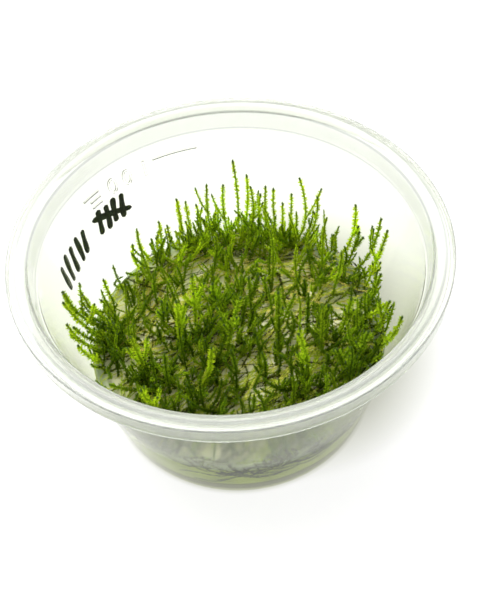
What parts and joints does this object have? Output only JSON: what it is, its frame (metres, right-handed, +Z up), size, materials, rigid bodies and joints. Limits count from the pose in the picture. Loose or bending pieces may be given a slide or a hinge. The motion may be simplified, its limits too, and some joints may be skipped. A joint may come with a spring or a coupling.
{
  "type": "moss in a tissue culture cup",
  "caption": "Round tapered translucent cup with a stacking rim, holding a plug of nutrient gel, a moss mat and upright leafy moss shoots.",
  "frame": {"origin": "centre of the cup's foot, on the plane that it stands on", "axes": "+Z up along the cup's axis, -Y towards the near side of the picture, +X to the right"},
  "size_m": [0.0804, 0.0804, 0.0448],
  "materials": {
    "cup_plastic": "thin translucent milky polypropylene, moulded, glossy inside and out",
    "gel": "soft cloudy nutrient gel with a wet surface",
    "old_moss": "matted old moss stems, dull dark green to straw",
    "new_moss": "fresh leafy moss, bright green and slightly translucent"
  },
  "bodies": {
    "root": {"cup": "cup_plastic", "gel": "gel", "moss_mat": "old_moss", "shoot_back_01": "new_moss", "shoot_back_02": "new_moss", "shoot_back_03": "new_moss", "shoot_back_04": "new_moss", "shoot_back_05": "new_moss", "shoot_back_06": "new_moss", "shoot_back_07": "new_moss", "shoot_back_08": "new_moss", "shoot_back_09": "new_moss", "shoot_back_10": "new_moss", "shoot_back_11": "new_moss", "shoot_back_12": "new_moss", "shoot_back_13": "new_moss", "shoot_back_left_01": "new_moss", "shoot_back_left_02": "new_moss", "shoot_back_left_03": "new_moss", "shoot_back_left_04": "new_moss", "shoot_back_left_05": "new_moss", "shoot_back_left_06": "new_moss", "shoot_back_left_07": "new_moss", "shoot_left_01": "new_moss", "shoot_left_02": "new_moss", "shoot_left_03": "new_moss", "shoot_left_04": "new_moss", "shoot_left_05": "new_moss", "shoot_left_06": "new_moss", "shoot_left_07": "new_moss", "shoot_left_08": "new_moss", "shoot_middle_01": "new_moss", "shoot_middle_02": "new_moss", "shoot_middle_03": "new_moss", "shoot_middle_04": "new_moss", "shoot_middle_05": "new_moss", "shoot_middle_06": "new_moss", "shoot_middle_07": "new_moss", "shoot_middle_08": "new_moss", "shoot_middle_09": "new_moss", "shoot_middle_10": "new_moss", "shoot_middle_11": "new_moss", "shoot_middle_12": "new_moss", "shoot_middle_13": "new_moss", "shoot_middle_14": "new_moss", "shoot_middle_15": "new_moss", "shoot_middle_16": "new_moss", "shoot_right_01": "new_moss", "shoot_right_02": "new_moss", "shoot_right_03": "new_moss", "shoot_right_04": "new_moss", "shoot_right_05": "new_moss", "shoot_right_06": "new_moss", "shoot_right_07": "new_moss", "shoot_right_08": "new_moss", "shoot_right_09": "new_moss", "shoot_right_10": "new_moss"}
  },
  "joints": []
}
